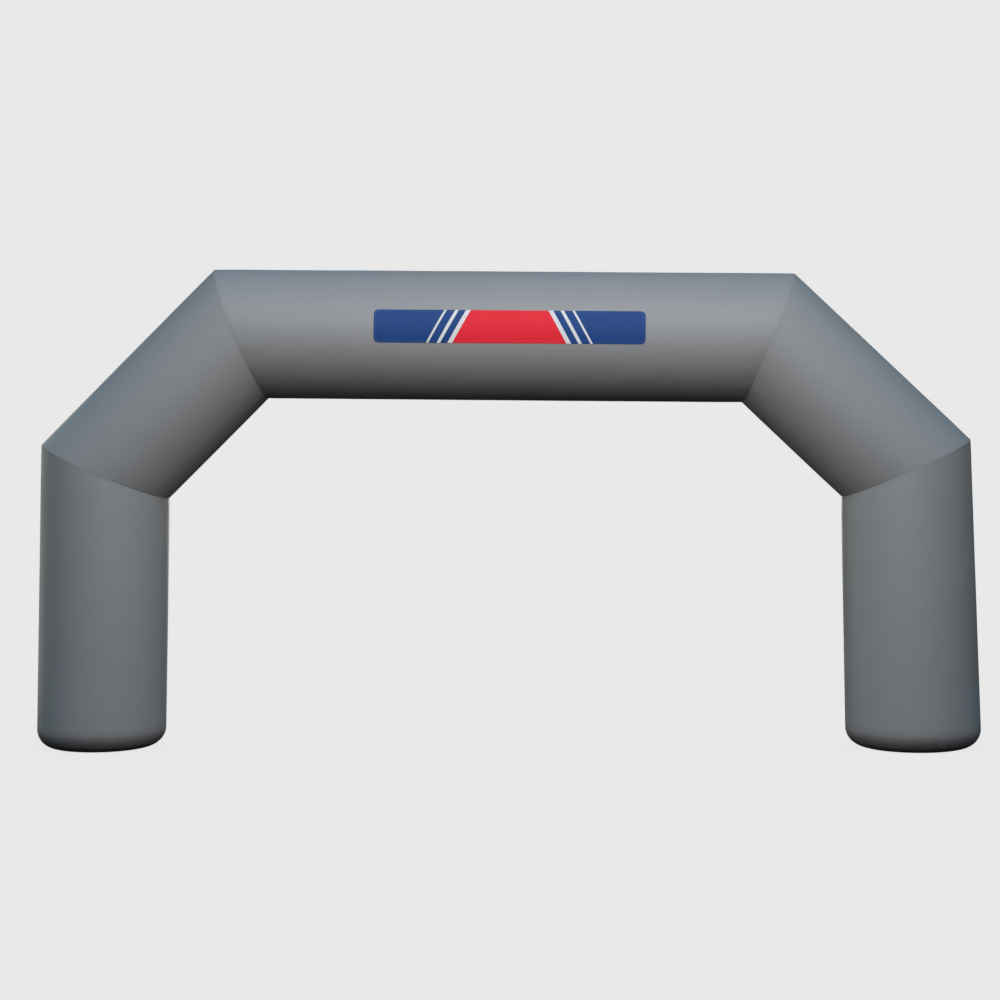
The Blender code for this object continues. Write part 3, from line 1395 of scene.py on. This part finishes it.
@dataclass
class Studio:
    """The pale floor, the soft sky and the light.

    Attributes:
        pale: The brightness of the floor and of the background.
        bounce: How much light the floor throws back up.
        painted_contact_shadow: How much the floor darkens right beside the feet.
        contact_reach: How far from the feet it darkens.
        floor_half: Half the length of the floor's sides.
        floor_drop: How far the floor lies below the ground, clear of the feet's undersides.
        front_sky: The sky's colour on the viewer's side, from 0, straight down, to 1, straight up.
        back_sky: The sky's colour behind the arch.
        lights: The soft lights.
    """

    pale: float = 0.815
    bounce: float = 0.005
    # painted_contact_shadow: How much painted shadow darkens the floor right beside the feet.
    painted_contact_shadow: float = 0.04
    contact_reach: float = 0.35
    floor_half: float = 60.0
    floor_drop: float = 0.001
    front_sky: Stops = field(
        default_factory=lambda: [
            (0.50, (0.00, 0.00, 0.00, 1.0)),
            (0.58, (0.06, 0.02, 0.01, 1.0)),
            (0.70, (0.46, 0.57, 0.60, 1.0)),
            (0.85, (0.40, 0.75, 1.00, 1.0)),
            (1.00, (0.00, 0.03, 0.26, 1.0)),
        ]
    )
    back_sky: Stops = field(
        default_factory=lambda: [
            (0.42, (0.00, 0.00, 0.00, 1.0)),
            (0.50, (0.50, 0.35, 0.20, 1.0)),
            (0.58, (0.38, 0.36, 0.31, 1.0)),
            (0.70, (0.11, 0.31, 0.43, 1.0)),
            (0.85, (0.00, 0.00, 0.06, 1.0)),
            (1.00, (0.00, 0.00, 0.00, 1.0)),
        ]
    )
    lights: tuple[SoftLight, ...] = (
        SoftLight("key", Vector((0.4, -5.0, 5.0)), AIM, 6.0, 252.0, (1.0, 0.945, 0.925)),
        SoftLight("side_fill", Vector((-4.0, 2.0, 1.5)), AIM, 3.0, 24.0, (0.97, 1.0, 0.85)),
        SoftLight("rear_fill", Vector((0.0, 30.0, 4.0)), AIM, 8.0, 2600.0, (1.0, 1.0, 1.0)),
    )

    def floor(self) -> bpy.types.Object:
        """Makes the floor, pale to the eye and dark to the arch, whose underside so stays in shade.

        Returns:
            The floor, marked as stage.
        """
        mesh = bpy.data.meshes.new("floor")
        half = self.floor_half
        corners = [(-half, -half), (half, -half), (half, half), (-half, half)]
        mesh.from_pydata([(x, y, -self.floor_drop) for x, y in corners], [], [(0, 1, 2, 3)])
        made = bpy.data.materials.new("pale_floor")
        made.use_nodes = True
        made.node_tree.nodes.clear()
        net = Net(made.node_tree)
        reach = {"Distance": self.contact_reach}
        open_sky = net.add("ShaderNodeAmbientOcclusion", {"samples": 8}, reach, "AO")
        seen = net.add("ShaderNodeLightPath", None, None, "Is Camera Ray")
        # Painted contact shadow: the floor's pale glow is darkened where ambient occlusion finds the feet
        # close by.
        shown = self.pale * (1.0 - (1.0 - open_sky) * self.painted_contact_shadow)
        strength = shown * seen + (1.0 - seen) * self.bounce
        glow = net.add("ShaderNodeEmission", None, {"Color": WHITE, "Strength": strength})
        net.plug(made.node_tree.nodes.new("ShaderNodeOutputMaterial").inputs["Surface"], glow)
        mesh.materials.append(made)
        floor = bpy.data.objects.new("floor", mesh)
        bpy.context.scene.collection.objects.link(floor)
        return floor

    def sky(self) -> None:
        """Makes the world: a soft sky that lights the arch, behind an evenly pale background."""
        world = bpy.data.worlds.new("studio_sky")
        world.use_nodes = True
        world.node_tree.nodes.clear()
        net = Net(world.node_tree)
        direction = net.add("ShaderNodeTexCoord", None, None, "Generated")
        height = direction.part(2) * 0.5 + 0.5
        front = net.add("ShaderNodeValToRGB", {"stops": self.front_sky}, {0: height})
        back = net.add("ShaderNodeValToRGB", {"stops": self.back_sky}, {0: height})
        shade = net.mix_colour(direction.part(1) * 0.5 + 0.5, front, back)
        light = net.add("ShaderNodeBackground", None, {"Color": shade, "Strength": 1.0})
        plain = net.add("ShaderNodeBackground", None, {"Color": WHITE, "Strength": self.pale})
        seen = net.add("ShaderNodeLightPath", None, None, "Is Camera Ray")
        both = net.add("ShaderNodeMixShader", None, {0: seen, 1: light, 2: plain})
        net.plug(world.node_tree.nodes.new("ShaderNodeOutputWorld").inputs["Surface"], both)
        bpy.context.scene.world = world

    def make(self) -> None:
        """Makes the whole studio."""
        self.floor()
        self.sky()
        for light in self.lights:
            light.make()
        bpy.context.scene.view_settings.view_transform = "Standard"


@dataclass
class Arch:
    """The whole arch, as its tubes, floor panels and printed panel.

    Attributes:
        plan: The sizes of the arch.
        grey: The cloth of the tubes.
        floor_grey: The heavier cloth of the floor panels.
        thread: The sewing thread.
        printed: The cloth of the printed panel.
    """

    plan: ArchPlan = field(default_factory=ArchPlan)
    grey: CoatedCloth = CoatedCloth((0.34, 0.345, 0.35))
    # The floor panels' grime and painted shade are paler and warmer than the tubes', as painted light that
    # the floor throws up under the feet.
    floor_grey: CoatedCloth = CoatedCloth(
        (0.27, 0.275, 0.28), roughness=0.6, grime_and_shade=(0.260, 0.225, 0.175)
    )
    thread: Thread = Thread((0.25, 0.255, 0.26))
    printed: Print = Print()

    def tubes(self) -> list[Tube]:
        """Cuts the five tubes along the arch's line.

        Returns:
            The tubes.
        """
        plan = self.plan
        points = plan.points()
        seam = plan.floor_seam_height() / plan.knee_height
        cuts = {
            "leg_left": (points[0].lerp(points[1], seam), points[1], UP, plan.mitre(1), True, (0, 1)),
            "shoulder_left": (points[1], points[2], plan.mitre(1), plan.mitre(2), False, (1, 2)),
            "beam": (points[2], points[3], plan.mitre(2), plan.mitre(3), False, (2, 3)),
            "shoulder_right": (points[3], points[4], plan.mitre(3), plan.mitre(4), False, (3, 4)),
            "leg_right": (points[5].lerp(points[4], seam), points[4], UP, -plan.mitre(4), True, (5, 4)),
        }
        rings = {"beam": 130, "shoulder_left": 90, "shoulder_right": 90}
        feet = {"leg_left": plan.left, "leg_right": plan.right}
        made = []
        for name, (start, end, first, last, rounded, seams) in cuts.items():
            start_radius = feet[name].radius if rounded else plan.radius
            cut = TubeCut(start, end, first, last, start_radius, plan.radius, rounded, seams)
            made.append(Tube(name, cut, plan, rings.get(name, Tube.rings)))
        return made

    def make(self) -> list[bpy.types.Object]:
        """Makes every piece of the arch.

        Returns:
            The pieces, each riding on the arch's body.
        """
        grey = self.grey.material("coated_cloth")
        thread = self.thread.material("seam_thread")
        wall, seams = wall_pattern(), seam_stitch_pattern()
        pieces = []
        for tube in self.tubes():
            cloth = tube.cloth(wall, grey)
            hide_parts(tube.name)
            pieces += [self._ride(cloth, Slot.TUBE), self._ride(tube.stitches(seams, thread), Slot.TUBE)]
        pieces += self._floor_panels()
        pieces += self._front_panel(thread)
        return pieces

    def _floor_panels(self) -> list[bpy.types.Object]:
        """Makes the floor panels of both feet.

        Returns:
            The two pieces.
        """
        pattern = floor_pattern()
        material = self.floor_grey.material("floor_cloth")
        made = []
        for name, foot in (("base_left", self.plan.left), ("base_right", self.plan.right)):
            cloth = FloorPanel(name, foot, self.plan).cloth(pattern, material)
            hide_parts(name)
            made.append(self._ride(cloth, Slot.FLOOR))
        return made

    def _front_panel(self, thread: bpy.types.Material) -> list[bpy.types.Object]:
        """Makes the printed panel and its stitches.

        Args:
            thread: The thread's material.

        Returns:
            The two pieces.
        """
        panel = FrontPanel(self.plan)
        printed = self.printed.material("printed_cloth")
        cloth = panel_pattern().make("front_panel_cloth", panel.values(), printed)
        row = panel_stitch_pattern().make("front_panel_stitches", panel.values(), thread)
        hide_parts(panel.name)
        panel.height()
        return [self._ride(cloth, Slot.PANEL), self._ride(row, Slot.PANEL)]

    @staticmethod
    def _ride(piece: bpy.types.Object, slot: Slot) -> bpy.types.Object:
        """Puts a piece on the arch's body.

        Args:
            piece: The piece.
            slot: Not used.

        Returns:
            The same piece.
        """
        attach(piece, BODY)
        return piece


def main() -> None:
    """Builds the arch and its studio, and reports each piece."""
    logging.basicConfig(level=logging.INFO, format="%(name)s: %(message)s")
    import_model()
    for piece in Arch().make():
        LOG.info("%s: %d faces", piece.name, len(piece.data.polygons))
    Studio().make()
    Viewpoint().make()
    bpy.context.view_layer.update()


if __name__ == "__main__":
    main()
